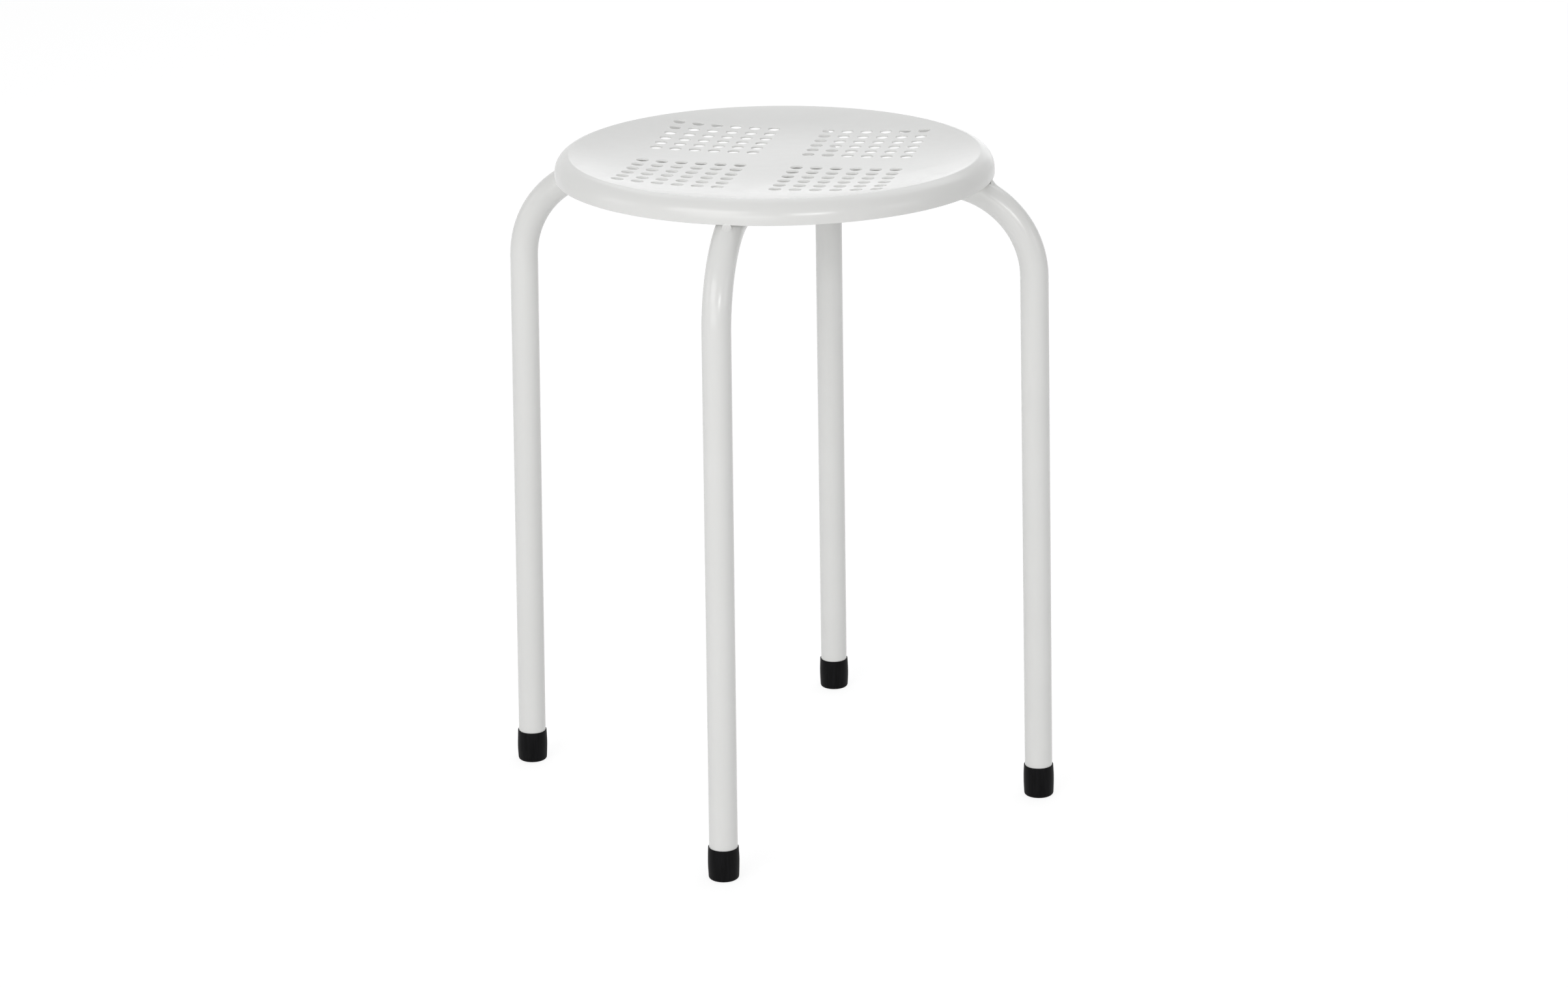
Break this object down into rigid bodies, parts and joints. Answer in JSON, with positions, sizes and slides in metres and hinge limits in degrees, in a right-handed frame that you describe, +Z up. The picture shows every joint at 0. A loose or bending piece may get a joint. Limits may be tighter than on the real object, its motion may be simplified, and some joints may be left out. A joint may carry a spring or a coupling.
{
  "type": "stacking stool",
  "caption": "Round stacking stool: a dished, perforated sheet steel seat on bent tube legs that stand outside the seat, each in a rubber ferrule.",
  "frame": {"origin": "on the floor, below the middle of the seat", "axes": "+Z up; the legs stand on the X and Y axes, and -Y is the front"},
  "size_m": [0.3858, 0.3858, 0.45],
  "materials": {
    "powder_coat": "warm white powder coat, semi-gloss, with a faint orange-peel texture",
    "black_rubber": "black moulded rubber, satin"
  },
  "bodies": {
    "root": {"seat_pan": "powder_coat", "side_hoop": "powder_coat", "front_leg": "powder_coat", "rear_leg": "powder_coat", "cross_weld": "powder_coat", "front_rim_weld": "powder_coat", "right_rim_weld": "powder_coat", "rear_rim_weld": "powder_coat", "left_rim_weld": "powder_coat", "front_ferrule": "black_rubber", "right_ferrule": "black_rubber", "rear_ferrule": "black_rubber", "left_ferrule": "black_rubber"}
  },
  "joints": []
}
